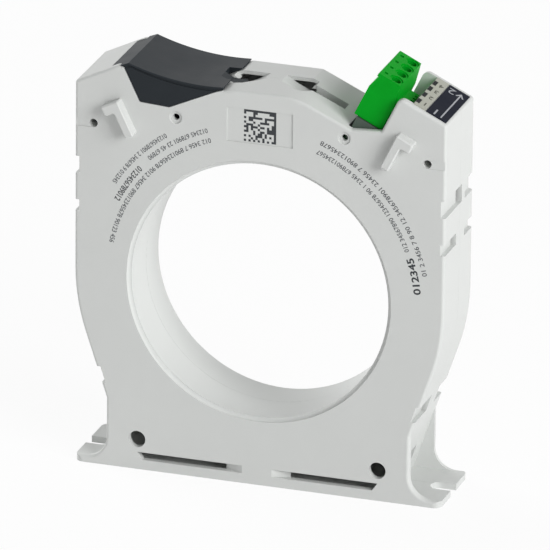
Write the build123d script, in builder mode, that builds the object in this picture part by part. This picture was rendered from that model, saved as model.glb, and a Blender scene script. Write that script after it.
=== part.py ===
# Toroidal differential-current transformer in a moulded two-shell housing.
# Frame: +X across the front, +Y from the front face to the rear face, +Z up.
# The origin is in the middle of the mounting face, half-way between front and rear.
import os
from math import atan, cos, radians, sin, sqrt, tan

from build123d import *

os.makedirs("parts", exist_ok=True)

# Housing, in millimetres and degrees. The ring's seat lies around the bore, and the
# outside of the housing is given by the room around that seat.
bore_radius = 40.0
bore_edge = 1.2
plate_thickness = 2.0
wall = 2.0
ring_room = 10.6
ring_seat_wall = 1.4
base_room = 7.4
side_room = 3.5
top_room = 8.6
seam_y = 1.0
seam_gap = 0.05
edge_round = 0.9
front_bend_radius = 20.0
rear_bend_radius = 1.5
shoulder_drop = 3.1
shoulder_angle = 26.0
shoulder_overlap = 4.24
shoulder_tip_round = 2.0
shoulder_corner_round = 1.0
notch_depth = 12.58
notch_floor_width = 9.2
notch_floor_drop = 0.6
notch_round = 0.6
side_bend_radius = 64.0
side_bend_rise = 0.8
side_lean = 18.4
leg_inset = 10.1
boss_wall = 2.0

# Feet
foot_inset = 0.2
foot_thickness = 2.0
foot_fillet = 6.8
foot_corner = 2.6
foot_slot_width = 5.5
foot_slot_y = -0.55
foot_slot_length = 7.1

# Bridge in the middle of the top
bridge_half = 11.9
bridge_depth = 6.5
top_bend_inset = 0.95

# Fixing holes and small openings of the faces
fixing_hole_diameter = 5.2
fixing_hole_inset = 19.9
fixing_hole_z = 9.6
outer_pin_diameter = 2.6
outer_pin_inset = 5.8
outer_pin_drop = 12.6
inner_pin_diameter = 2.1
inner_pin_inset = 31.4
inner_pin_counterbore = 4.0
inner_pin_counterbore_depth = 0.5
outer_pin_depth = 12.0
groove_height = 2.7
groove_depth = 0.2
code_window_width = 20.5
code_window_height = 10.6
code_window_drop = 10.7
code_window_depth = 0.3
rail_slot_inset = 19.8
rail_slot_inner = 4.6
rail_slot_z = 4.3
rail_slot_height = 2.4
rail_slot_ramp = 5.5
rail_slot_slant = 1.7

# Latch pockets down each side: lower and upper edge from the height of the bore's axis,
# end of the front pocket, slope
latch_pocket_depth = 1.4
latch_rib_rear = 5.5
latch_pockets = [
    (29.6, 35.9, 2.7, 1.0),
    (18.2, 22.2, -2.5, 0.5),
    (-35.2, -30.1, -2.0, 0.0),
]
latch_slit_length = 0.9
root_slit_low = 7.5
root_slit_high = 12.6
root_slit_front = -1.5
root_slit_rear = 3.5

# Openings in the top, on both sides of the central bridge
window_front = -6.3
window_rear = 4.1
window_width = 0.9
window_mouth_front = -1.1
window_inner_run = 5.5
window_outer_run = 2.2
ramp_start = 2.5
ramp_reach = 7.9
ramp_middle_drop = 2.2
ramp_end_drop = 4.0
incline_slot_front = -3.3
incline_slot_rear = 0.9
incline_slot_length = 10.1
lip_thickness = 1.15
lip_depth = 3.0
lip_setback = 2.2
tongue_slant = 1.5

# Front wire guides
guide_inset = 4.94
guide_y = -9.4
guide_bar_width = 2.8
guide_bar_length = 11.7
guide_arm_length = 5.8
guide_arm_height = 3.2
guide_proud = 3.5
guide_round = 0.6
guide_chamfer = 0.4

# Terminal chambers, measured from each shoulder corner along and below the shoulder
chamber_outer = 12.0
chamber_width = 13.8
chamber_floor_room = 0.48
board_ledge = 1.4
board_ledge_width = 1.8
lead_slot_setback = 2.8
lead_slot_width = 3.0
lead_slot_length = 8.0
lead_slot_depth = 6.0
lead_slot_y = 5.6
catch_level = 5.2
catch_height = 1.6
catch_length = 9.0
catch_depth = 0.8

# Pluggable terminal block
pole_count = 4
pole_pitch = 5.08
plug_inner_reach = 0.3
plug_outer_setback = 6.0
plug_top = 2.2
plug_lip_setback = 0.7
plug_lip = 0.6
plug_lip_height = 1.1
plug_flare_depth = 5.2
plug_taper = 1.3
plug_round = 0.4
plug_latch_gap = 1.4
plug_latch_top = -4.5
plug_latch_length = 10.0
plug_rib_count = 4
plug_rib_depth = 0.6
plug_clearance = 0.3
plug_seat_gap = 0.2
wire_hole_shift = 0.1
wire_hole_diameter = 3.0
wire_dish_radius = 2.1
wire_dish_depth = 0.35
test_hole_size = 1.1
test_hole_spacing = 3.6
test_hole_depth = 3.0
clamp_level = -5.5
cage_shift = 0.4
cage_width = 4.0
cage_height = 4.2
cage_length = 4.6
cage_wall = 0.6
screw_head_diameter = 3.2
screw_head_height = 1.4
screw_head_recess = 0.6
screw_shank_diameter = 2.2
screw_slot_width = 0.5
screw_slot_depth = 0.6
contact_size = 2.2
contact_room = 0.2
contact_wall = 0.4

# Header, pins and board
header_outer_room = 4.4
header_inner_room = 0.9
header_front_room = 0.2
header_rear_room = 1.6
header_wall = 0.9
header_floor = 1.4
header_height = 7.8
header_end_wall = 0.55
header_overhang = 0.44
pin_size = 1.0
pin_setback = 4.2
pin_engagement = 5.7
pin_tail = 1.1
pin_chamfer = 0.25
board_thickness = 1.6
board_clearance = 0.4

# Labels on the right shoulder
label_thickness = 0.25
label_gap = 0.2
label_front_margin = 1.4
label_rear_margin = 2.2
marking_margin = 0.1
marking_width = 4.0
direction_outer = 0.8

# Chamber cover on the left
cover_clearance = 0.15
cover_skin = 1.8
cover_recess = 0.1
cover_apex_run = 6.1
cover_apex_drop = 0.45
cover_sag = 1.55
cover_end_gap = 1.2
cover_end_thickness = 0.4
cover_edge_round = 0.4
cover_groove_top = 0.5
cover_groove_height = 0.8
cover_groove_depth = 0.3
cover_outer_leg = 10.5
cover_inner_leg = 20.0
cover_inner_leg_width = 12.0
cover_notch_length = 3.9
cover_notch_gap = 0.6
cover_notch_bevel = 2.3
cover_slide_gap = 0.2
cover_slide_drop = 0.15
cover_slide_thickness = 0.8
cover_slide_level = 1.5
cover_slide_run = 2.9
cover_slide_reach = 2.2

# Ring assembly
ring_clearance = 0.4
tape_thickness = 0.35
winding_thickness = 0.9
case_wall = 1.0
case_gap = 0.2
cushion_thickness = 1.6
cushion_inset = 0.5
lead_diameter = 1.0
lead_spacing = 4.4
lead_gap = 0.2
lead_solder_length = 0.7

# Worked-out sizes of the housing
tube_radius = bore_radius + wall
ring_seat_radius = tube_radius + ring_room
seat_outer_radius = ring_seat_radius + ring_seat_wall
bore_height = seat_outer_radius + base_room
half_width = seat_outer_radius + side_room
top_height = bore_height + seat_outer_radius + top_room
block_length = pole_count * pole_pitch
header_length = block_length + 2 * header_overhang
body_depth = header_length + header_front_room + header_rear_room + 2 * plate_thickness
front_y = -body_depth / 2
rear_y = body_depth / 2
front_inner_y = front_y + plate_thickness
rear_inner_y = rear_y - plate_thickness
shoulder_height = top_height - shoulder_drop
shoulder_run = chamber_outer + shoulder_overlap
chamber_inner = chamber_outer + chamber_width
side_bend_height = bore_height + side_bend_rise
leg_half_width = half_width - leg_inset
foot_half_width = half_width - foot_inset
foot_slot_end = foot_half_width - foot_slot_length
top_flat_half = bridge_half - top_bend_inset
window_outer = bridge_half + window_width
ramp_end_x = ramp_start + ramp_reach
incline_slot_end = window_outer + incline_slot_length
cover_end = window_outer - cover_end_gap
fixing_hole_x = half_width - fixing_hole_inset
outer_pin_x = half_width - outer_pin_inset
outer_pin_z = shoulder_height - outer_pin_drop
code_window_z = top_height - code_window_drop
inner_pin_x = half_width - inner_pin_inset
inner_pin_z = code_window_z
rail_slot_outer = half_width - rail_slot_inset
lean = radians(side_lean)
tilt = radians(shoulder_angle)
bend_end_x = half_width - side_bend_radius * (1 - cos(lean))
bend_end_z = side_bend_height - side_bend_radius * sin(lean)
leg_top_z = bend_end_z - (bend_end_x - leg_half_width) / tan(lean)


def lean_x(z):
    """X of the leaning side wall at height z."""
    return bend_end_x - (bend_end_z - z) * tan(lean)


def shoulder_point(inward, above):
    """Front-plane point given along the shoulder from its outer corner, and above it."""
    return (
        half_width - inward * cos(tilt) + above * sin(tilt),
        shoulder_height + inward * sin(tilt) + above * cos(tilt),
    )


def facing(y):
    """Plane at depth y whose sketch axes are X and Z and whose normal points to the front."""
    return Plane.XZ.offset(-y)


shoulder_side = Plane(
    origin=(half_width, 0, shoulder_height),
    x_dir=(cos(tilt), 0, -sin(tilt)),
    z_dir=(0, -1, 0),
)
shoulder_up = Plane(
    origin=(half_width, 0, shoulder_height),
    x_dir=(cos(tilt), 0, -sin(tilt)),
    z_dir=(sin(tilt), 0, cos(tilt)),
)

inward_plane = Plane(
    origin=(half_width, 0, shoulder_height),
    x_dir=(sin(tilt), 0, cos(tilt)),
    z_dir=(-cos(tilt), 0, sin(tilt)),
)

# The chamber's floor ends just outside the ring's seat
rim_x, rim_z = shoulder_point(chamber_inner, 0)
rim_along = rim_x * sin(tilt) + (rim_z - bore_height) * cos(tilt)
rim_across = rim_x * cos(tilt) - (rim_z - bore_height) * sin(tilt)
chamber_depth = rim_along - sqrt((seat_outer_radius + chamber_floor_room) ** 2 - rim_across**2)

# Corners of the terminal notch in the plates
notch_tip = shoulder_point(shoulder_run, 0)
notch_outer = shoulder_point(shoulder_run, -notch_depth)
notch_inner = (notch_outer[0] - notch_floor_width, notch_outer[1] - notch_floor_drop)
incline_slope = (top_height - notch_inner[1]) / (notch_inner[0] - top_flat_half)


def incline_z(x):
    """Height of the long incline at distance x from the middle."""
    return notch_inner[1] + (notch_inner[0] - x) * incline_slope


def chamber_rim():
    """Point where the inner wall of the chamber meets the long incline."""
    foot = shoulder_point(chamber_inner, -chamber_depth)
    rise = (incline_z(foot[0]) - foot[1]) / (cos(tilt) + sin(tilt) * incline_slope)
    return (foot[0] + rise * sin(tilt), foot[1] + rise * cos(tilt))


def plate_outline(bend_radius):
    """Outline of a plate whose top bends with this radius on both sides of the bridge."""
    with BuildSketch() as plate:
        with BuildLine():
            Polyline((0, 0), (foot_half_width, 0), (foot_half_width, foot_thickness),
                     (leg_half_width + foot_fillet, foot_thickness))
            CenterArc((leg_half_width + foot_fillet, foot_thickness + foot_fillet), foot_fillet, 180, 90)
            Polyline((leg_half_width, foot_thickness + foot_fillet), (leg_half_width, leg_top_z),
                     (bend_end_x, bend_end_z))
            CenterArc((half_width - side_bend_radius, side_bend_height), side_bend_radius,
                      -side_lean, side_lean)
            FilletPolyline((half_width, side_bend_height), (half_width, shoulder_height), notch_tip,
                           notch_outer, notch_inner, (top_flat_half, top_height), (0, top_height),
                           radius=[shoulder_corner_round, shoulder_tip_round, notch_round,
                                   notch_round, bend_radius])
            mirror(about=Plane.YZ)
        make_face()
    return plate.sketch


# Outline of the walls between the plates, with both terminal chambers open at the top
with BuildSketch() as sharp_outline:
    with BuildLine():
        Polyline((0, 0), (lean_x(0), 0), (bend_end_x, bend_end_z))
        CenterArc((half_width - side_bend_radius, side_bend_height), side_bend_radius,
                  -side_lean, side_lean)
        Polyline((half_width, side_bend_height), (half_width, shoulder_height),
                 shoulder_point(chamber_outer, 0), shoulder_point(chamber_outer, -chamber_depth),
                 shoulder_point(chamber_inner, -chamber_depth), chamber_rim(),
                 (top_flat_half, top_height), (0, top_height))
        mirror(about=Plane.YZ)
    make_face()


def body_outline(bend_radius):
    """The same outline with its corners rounded."""
    with BuildSketch() as body:
        add(sharp_outline.sketch)
        fillet([v for v in body.vertices() if abs(v.Y - shoulder_height) < 0.01
                and abs(v.X) > half_width - 0.01], shoulder_corner_round)
        fillet([v for v in body.vertices() if abs(v.Y - top_height) < 0.01 and abs(v.X) > 0.01],
               bend_radius)
    return body.sketch


fixing_boss_radius = fixing_hole_diameter / 2 + boss_wall
outer_boss_radius = outer_pin_diameter / 2 + boss_wall

# Space inside the walls: the ring's channel and the corners outside its seat
with BuildSketch() as cavity_outline:
    add(sharp_outline.sketch)
    offset(amount=-wall, kind=Kind.INTERSECTION, mode=Mode.REPLACE)
    with Locations((0, bore_height)):
        Circle(seat_outer_radius, mode=Mode.SUBTRACT)
    with Locations((-outer_pin_x, outer_pin_z), (outer_pin_x, outer_pin_z)):
        Circle(outer_boss_radius, mode=Mode.SUBTRACT)
    with Locations((0, bore_height)):
        Circle(ring_seat_radius)
        Circle(tube_radius, mode=Mode.SUBTRACT)

# The same space where the bridge of the top hangs into it
with BuildSketch() as bridged_outline:
    add(cavity_outline.sketch)
    with Locations((0, top_height)):
        Rectangle(2 * bridge_half, 2 * bridge_depth, mode=Mode.SUBTRACT)

# Section of the sunk ramp and the hole on both sides of the bridge
hole_bottom = top_height - bridge_depth - wall
ramp_end = (ramp_end_x, top_height - ramp_end_drop)
with BuildSketch() as window_outline:
    with BuildLine():
        Polyline((ramp_start, top_height), (ramp_start, top_height + 2),
                 (window_outer, top_height + 2), (window_outer, hole_bottom),
                 (ramp_end_x, hole_bottom), ramp_end)
        ThreePointArc(ramp_end, ((ramp_start + ramp_end_x) / 2, top_height - ramp_middle_drop),
                      (ramp_start, top_height))
    make_face()
    mirror(about=Plane.YZ)

# The same openings as seen from above: they widen to the front
with BuildSketch() as window_plan:
    with BuildLine():
        Polyline((ramp_start, window_rear), (ramp_start, window_mouth_front),
                 (ramp_start + window_inner_run, window_front),
                 (window_outer - window_outer_run, window_front),
                 (window_outer, incline_slot_front), (window_outer, window_rear), close=True)
    make_face()
    mirror(about=Plane.YZ)
with BuildPart() as windows:
    with BuildSketch(facing(window_rear)):
        add(window_outline.sketch)
    extrude(amount=window_rear - window_front)
    with BuildSketch(Plane.XY.offset(hole_bottom)) as plan:
        add(window_plan.sketch)
    extrude(plan.sketch, amount=top_height + 2 - hole_bottom, mode=Mode.INTERSECT)

# The outer end of each window slants inwards under the top of the incline
with BuildSketch() as tongue_outline:
    with BuildLine():
        tongue_foot = incline_z(window_outer) - lip_thickness
        Polyline((window_outer, incline_z(window_outer)), (window_outer - tongue_slant, tongue_foot),
                 (window_outer + 1, tongue_foot), (window_outer + 1, incline_z(window_outer + 1)),
                 close=True)
    make_face()
    mirror(about=Plane.YZ)

# Slot that continues the hole along each incline
with BuildSketch() as incline_slot:
    with BuildLine():
        Polyline((window_outer - 0.5, top_height + 1), (incline_slot_end, top_height + 1),
                 (incline_slot_end, incline_z(incline_slot_end) - wall - 0.5),
                 (window_outer - 0.5, incline_z(window_outer) - wall - 0.5), close=True)
    make_face()
    mirror(about=Plane.YZ)

# Behind the windows and the slots the top is thinned to a lip
lip_drop = lip_thickness / cos(atan(incline_slope))
relief_drop = lip_drop + wall
with BuildSketch() as window_relief:
    with BuildLine():
        Polyline((ramp_start + lip_setback, top_height - lip_thickness),
                 (top_flat_half, top_height - lip_thickness),
                 (window_outer, incline_z(window_outer) - lip_drop),
                 (window_outer, top_height - lip_thickness - wall),
                 (ramp_start + lip_setback, top_height - lip_thickness - wall), close=True)
    make_face()
    mirror(about=Plane.YZ)
with BuildSketch() as slot_relief:
    with BuildLine():
        Polyline((window_outer - 0.1, incline_z(window_outer - 0.1) - lip_drop),
                 (incline_slot_end, incline_z(incline_slot_end) - lip_drop),
                 (incline_slot_end, incline_z(incline_slot_end) - relief_drop),
                 (window_outer - 0.1, incline_z(window_outer - 0.1) - relief_drop), close=True)
    make_face()
    mirror(about=Plane.YZ)


def side_pocket(low, high, depth, slope):
    """Latch pockets in both side walls, with a lower edge that slopes down outwards."""
    with BuildSketch() as pocket:
        with BuildLine():
            Polyline((side_x(low) - depth, low + slope), (side_x(low) + 6, low),
                     (side_x(high) + 6, high), (side_x(high) - depth, high), close=True)
        make_face()
        mirror(about=Plane.YZ)
    return pocket.sketch


def side_x(z):
    """X of the outer side of the housing at height z, above the legs."""
    if z > side_bend_height:
        return half_width
    return lean_x(z)


# Foot slots and foot corners, as seen from above
with BuildSketch() as foot_cuts:
    slot_reach = foot_half_width - foot_slot_end
    with Locations((foot_slot_end + foot_slot_width / 2, foot_slot_y)):
        Circle(foot_slot_width / 2)
    with Locations((foot_slot_end + foot_slot_width / 2 + slot_reach / 2, foot_slot_y)):
        Rectangle(slot_reach, foot_slot_width)
    for y, turn in ((front_y, 1), (rear_y, -1)):
        with BuildLine():
            ThreePointArc((foot_half_width - foot_corner, y),
                          (foot_half_width - foot_corner * (1 - sqrt(0.5)),
                           y + turn * foot_corner * (1 - sqrt(0.5))),
                          (foot_half_width, y + turn * foot_corner))
            Polyline((foot_half_width, y + turn * foot_corner),
                     (foot_half_width + 1, y + turn * foot_corner), (foot_half_width + 1, y - turn),
                     (foot_half_width - foot_corner, y - turn), (foot_half_width - foot_corner, y))
        make_face()
    mirror(about=Plane.YZ)

# Long slots along the foot of the front face
rail_slot_low = rail_slot_z - rail_slot_height / 2
rail_slot_high = rail_slot_z + rail_slot_height / 2
rail_slot_deep = rail_slot_inner + rail_slot_ramp
with BuildSketch() as rail_slots:
    with BuildLine():
        Polyline((rail_slot_deep, rail_slot_low), (rail_slot_outer - rail_slot_slant, rail_slot_low),
                 (rail_slot_outer, rail_slot_high), (rail_slot_deep, rail_slot_high), close=True)
    make_face()
    mirror(about=Plane.YZ)

# Inner ends of these slots: slopes that run out on the face, as seen from above
with BuildSketch() as rail_ramps:
    with BuildLine():
        Polyline((rail_slot_inner, front_y), (rail_slot_deep + 0.1, front_y),
                 (rail_slot_deep + 0.1, front_inner_y), (rail_slot_deep, front_inner_y), close=True)
    make_face()
    mirror(about=Plane.YZ)

# Wire guide: a bar along the steep side of the chamber and an arm towards the shoulder
guide_x = guide_inset - shoulder_run
with BuildPart() as wire_guide:
    with BuildSketch(shoulder_side.offset(-front_y)):
        with BuildLine():
            FilletPolyline((guide_x, guide_y), (guide_x, guide_y - guide_bar_length),
                           (guide_x + guide_bar_width, guide_y - guide_bar_length),
                           (guide_x + guide_bar_width, guide_y - guide_arm_height),
                           (guide_x + guide_arm_length, guide_y - guide_arm_height),
                           (guide_x + guide_arm_length, guide_y), close=True, radius=guide_round)
        make_face()
    extrude(amount=guide_proud)
    chamfer(wire_guide.faces().sort_by(Axis.Y)[0].edges(), guide_chamfer)

# Catch recess for a cover in the outer wall of each chamber
with BuildSketch() as catch_recess:
    with BuildLine():
        Polyline(shoulder_point(chamber_outer - catch_depth, -catch_level),
                 shoulder_point(chamber_outer + catch_depth, -catch_level),
                 shoulder_point(chamber_outer + catch_depth, -catch_level - catch_height),
                 shoulder_point(chamber_outer - catch_depth, -catch_level - catch_height), close=True)
    make_face()
    mirror(about=Plane.YZ)

# Ledge across the floor of the right chamber, on which the board rests
ledge_middle = -(chamber_outer + chamber_inner) / 2
ledge_length = chamber_inner - chamber_outer

# Heights of the latch pockets above the mounting face
pockets = [(bore_height + low, bore_height + high, end, slope) for low, high, end, slope in latch_pockets]


def cut_between(outline, y_from, y_to):
    """Cut an outline drawn in X and Z from one depth to another."""
    with BuildSketch(facing(y_to)) as opening:
        add(outline)
    extrude(opening.sketch, amount=y_to - y_from, mode=Mode.SUBTRACT)


def cut_bore(y_seam, y_face):
    """Half of the bore, with its rounded mouth."""
    outward = 1 if y_face > y_seam else -1
    with BuildSketch() as bore_profile:
        with BuildLine():
            Polyline((0, y_seam), (bore_radius, y_seam), (bore_radius, y_face - outward * bore_edge))
            RadiusArc((bore_radius, y_face - outward * bore_edge), (bore_radius + bore_edge, y_face),
                      -outward * bore_edge)
            Polyline((bore_radius + bore_edge, y_face), (0, y_face), (0, y_seam))
        make_face()
    with BuildSketch(Plane.XY.offset(bore_height)) as bore_section:
        add(bore_profile.sketch)
    revolve(bore_section.sketch, axis=Axis((0, 0, bore_height), (0, 1, 0)), mode=Mode.SUBTRACT)


def shell_block(y_from, y_to, plate_from, bend_radius):
    """Plate, walls and foot of one shell, before its openings are cut."""
    with BuildPart() as block:
        with BuildSketch(facing(plate_from + plate_thickness)):
            add(plate_outline(bend_radius))
        extrude(amount=plate_thickness)
        with BuildSketch(facing(y_to)):
            add(body_outline(bend_radius))
            with Locations((0, foot_thickness / 2)):
                Rectangle(2 * foot_half_width, foot_thickness)
        extrude(amount=y_to - y_from)
    return block.part


# Front shell: face plate, wire guides, ramps of the top and most of the latch pockets
with BuildPart() as front_shell:
    add(shell_block(front_y, seam_y, front_y, front_bend_radius))
    fillet(front_shell.edges().filter_by(
        lambda e: abs(e.center().Y - front_y) < 0.01 and e.center().Z > foot_thickness), edge_round)
    # The edges that the cover's front lies against stay sharp
    with BuildSketch(facing(front_y + edge_round)):
        add(plate_outline(front_bend_radius))
        with Locations((-(notch_tip[0] + cover_end) / 2, top_height)):
            Rectangle(notch_tip[0] - cover_end, 2 * (top_height - notch_inner[1] + 2 * edge_round),
                      mode=Mode.INTERSECT)
    extrude(amount=edge_round)
    cut_between(cavity_outline.sketch, front_inner_y, window_front)
    cut_between(bridged_outline.sketch, window_front, seam_y)
    with BuildSketch(shoulder_up.offset(-chamber_depth)):
        with Locations((ledge_middle, front_inner_y + board_ledge_width / 2)):
            Rectangle(ledge_length, board_ledge_width)
    extrude(amount=board_ledge)
    add(windows.part, mode=Mode.SUBTRACT)
    cut_between(incline_slot.sketch, incline_slot_front, min(incline_slot_rear, seam_y))
    cut_between(catch_recess.sketch, -catch_length / 2, seam_y)
    cut_bore(seam_y, front_y)
    with Locations(facing(front_y)):
        with Locations((-fixing_hole_x, fixing_hole_z), (fixing_hole_x, fixing_hole_z)):
            Hole(fixing_hole_diameter / 2, depth=body_depth)
        with Locations((-outer_pin_x, outer_pin_z), (outer_pin_x, outer_pin_z)):
            Hole(outer_pin_diameter / 2, depth=outer_pin_depth)
        with Locations((-inner_pin_x, inner_pin_z), (inner_pin_x, inner_pin_z)):
            CounterBoreHole(inner_pin_diameter / 2, inner_pin_counterbore / 2,
                            inner_pin_counterbore_depth, depth=plate_thickness)
    with BuildSketch(facing(front_y + groove_depth)):
        groove_length = half_width - outer_pin_x
        with Locations((outer_pin_x + groove_length / 2, outer_pin_z),
                       (-outer_pin_x - groove_length / 2, outer_pin_z)):
            Rectangle(groove_length, groove_height)
    extrude(amount=groove_depth, mode=Mode.SUBTRACT)
    with BuildSketch(facing(front_y + code_window_depth)):
        with Locations((0, code_window_z)):
            Rectangle(code_window_width, code_window_height)
    extrude(amount=code_window_depth, mode=Mode.SUBTRACT)
    cut_between(rail_slots.sketch, front_y, front_inner_y)
    with BuildSketch(Plane.XY.offset(rail_slot_low)):
        add(rail_ramps.sketch)
    extrude(amount=rail_slot_height, mode=Mode.SUBTRACT)
    # Latch pockets, with a slit into the housing at the end of those that stop short
    for low, high, pocket_end, slope in pockets:
        end = min(pocket_end, seam_y)
        cut_between(side_pocket(low, high, latch_pocket_depth, slope), front_y, end)
        if pocket_end < seam_y:
            cut_between(side_pocket(low + slope, high, 2 * wall, 0), end - latch_slit_length, end)
    cut_between(side_pocket(root_slit_low, root_slit_high, 1.1 * wall, 0), root_slit_front, seam_y)
    extrude(foot_cuts.sketch, amount=foot_thickness + foot_fillet / 2, mode=Mode.SUBTRACT)
    add(wire_guide.part)
    add(mirror(wire_guide.part, about=Plane.YZ, mode=Mode.PRIVATE))
front_shell.part.label = "front_shell"
export_step(front_shell.part, "parts/front_shell.step")

# Rear shell: back plate, rear part of the walls, board ledge and lead slots
lead_slot_offset = chamber_outer + lead_slot_setback
with BuildPart() as rear_shell:
    add(shell_block(seam_y + seam_gap, rear_y, rear_inner_y, rear_bend_radius))
    fillet(rear_shell.edges().filter_by(
        lambda e: abs(e.center().Y - rear_y) < 0.01 and e.center().Z > foot_thickness), edge_round)
    cut_between(bridged_outline.sketch, seam_y + seam_gap, window_rear)
    cut_between(cavity_outline.sketch, window_rear, rear_inner_y)
    with BuildSketch(shoulder_up.offset(-chamber_depth)):
        with Locations((ledge_middle, rear_inner_y - board_ledge_width / 2)):
            Rectangle(ledge_length, board_ledge_width)
    extrude(amount=board_ledge)
    with BuildSketch(facing(rear_inner_y)):
        with Locations((-fixing_hole_x, fixing_hole_z), (fixing_hole_x, fixing_hole_z)):
            Circle(fixing_boss_radius)
    extrude(amount=rear_inner_y - seam_y - seam_gap)
    add(windows.part, mode=Mode.SUBTRACT)
    with BuildSketch(facing(window_rear)):
        add(tongue_outline.sketch)
    extrude(amount=window_rear - seam_y - seam_gap)
    cut_between(window_relief.sketch, window_rear, window_rear + lip_depth)
    cut_between(slot_relief.sketch, seam_y + seam_gap, window_rear + lip_depth)
    cut_between(catch_recess.sketch, seam_y, catch_length / 2)
    cut_bore(seam_y + seam_gap, rear_y)
    with Locations(facing(rear_y)):
        with Locations((-fixing_hole_x, fixing_hole_z), (fixing_hole_x, fixing_hole_z)):
            Hole(fixing_hole_diameter / 2, depth=body_depth)
    with BuildSketch(shoulder_up.offset(-chamber_depth)):
        with Locations((-lead_slot_offset, lead_slot_y)):
            SlotOverall(lead_slot_length, lead_slot_width, rotation=90)
    extrude(amount=-lead_slot_depth, mode=Mode.SUBTRACT)
    for low, high, pocket_end, slope in pockets:
        cut_between(side_pocket(low, high, latch_pocket_depth, slope), latch_rib_rear, rear_y)
        if pocket_end > seam_y:
            cut_between(side_pocket(low, high, latch_pocket_depth, slope), seam_y, pocket_end)
            cut_between(side_pocket(low + slope, high, 2 * wall, 0), seam_y, pocket_end)
    cut_between(side_pocket(root_slit_low, root_slit_high, 1.1 * wall, 0), seam_y, root_slit_rear)
    extrude(foot_cuts.sketch, amount=foot_thickness + foot_fillet / 2, mode=Mode.SUBTRACT)
rear_shell.part.label = "rear_shell"
export_step(rear_shell.part, "parts/rear_shell.step")


# Chamber cover, drawn on the right and mirrored at the end
cover_apex = chamber_outer + cover_apex_run
cover_notch_end = cover_end + cover_notch_length
cover_end_height = incline_z(cover_end) + cover_clearance + cover_end_thickness


def cover_profile(outer, skin, outer_foot, inner_foot):
    """Section under the cover's top surface, as far inside it as the skin says."""
    apex = shoulder_point(cover_apex, -cover_apex_drop - skin)
    end = (cover_end, cover_end_height - skin)
    middle = ((apex[0] + end[0]) / 2, (apex[1] + end[1]) / 2 - cover_sag)
    with BuildSketch() as profile:
        with BuildLine():
            Polyline(shoulder_point(outer, -outer_foot), shoulder_point(outer, -skin), apex)
            ThreePointArc(apex, middle, end)
            Polyline(end, (end[0], notch_inner[1]),
                     shoulder_point(chamber_inner + wall / 2, -inner_foot),
                     shoulder_point(outer, -outer_foot))
        make_face()
    return profile.sketch


cover_edge = chamber_outer + cover_clearance
cover_front = front_y + cover_recess
cover_rear = rear_y - cover_recess
cover_inner_front = front_inner_y + cover_clearance
cover_inner_rear = rear_inner_y - cover_clearance
with BuildSketch() as cover_wall:
    add(cover_profile(cover_edge, 0, cover_outer_leg, cover_inner_leg))
    add(offset(body_outline(rear_bend_radius), amount=cover_clearance, kind=Kind.INTERSECTION,
               mode=Mode.PRIVATE), mode=Mode.SUBTRACT)
    add(cover_profile(cover_edge + cover_skin, cover_skin, chamber_depth, chamber_depth),
        mode=Mode.SUBTRACT)
with BuildSketch() as cover_inner_wall:
    with BuildLine():
        leg_inner = chamber_inner - cover_clearance
        Polyline(shoulder_point(leg_inner - cover_skin, -cover_inner_leg),
                 shoulder_point(leg_inner, -cover_inner_leg), shoulder_point(leg_inner, 0),
                 shoulder_point(leg_inner - cover_skin, 0), close=True)
    make_face()
    add(cover_profile(cover_edge, cover_skin / 2, chamber_depth, chamber_depth), mode=Mode.INTERSECT)
# Shadow groove under the front rim of the top surface
with BuildSketch() as cover_groove:
    add(cover_profile(cover_edge, cover_groove_top, chamber_depth, chamber_depth))
    add(cover_profile(cover_edge, cover_groove_top + cover_groove_height, chamber_depth,
                      chamber_depth), mode=Mode.SUBTRACT)
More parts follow.
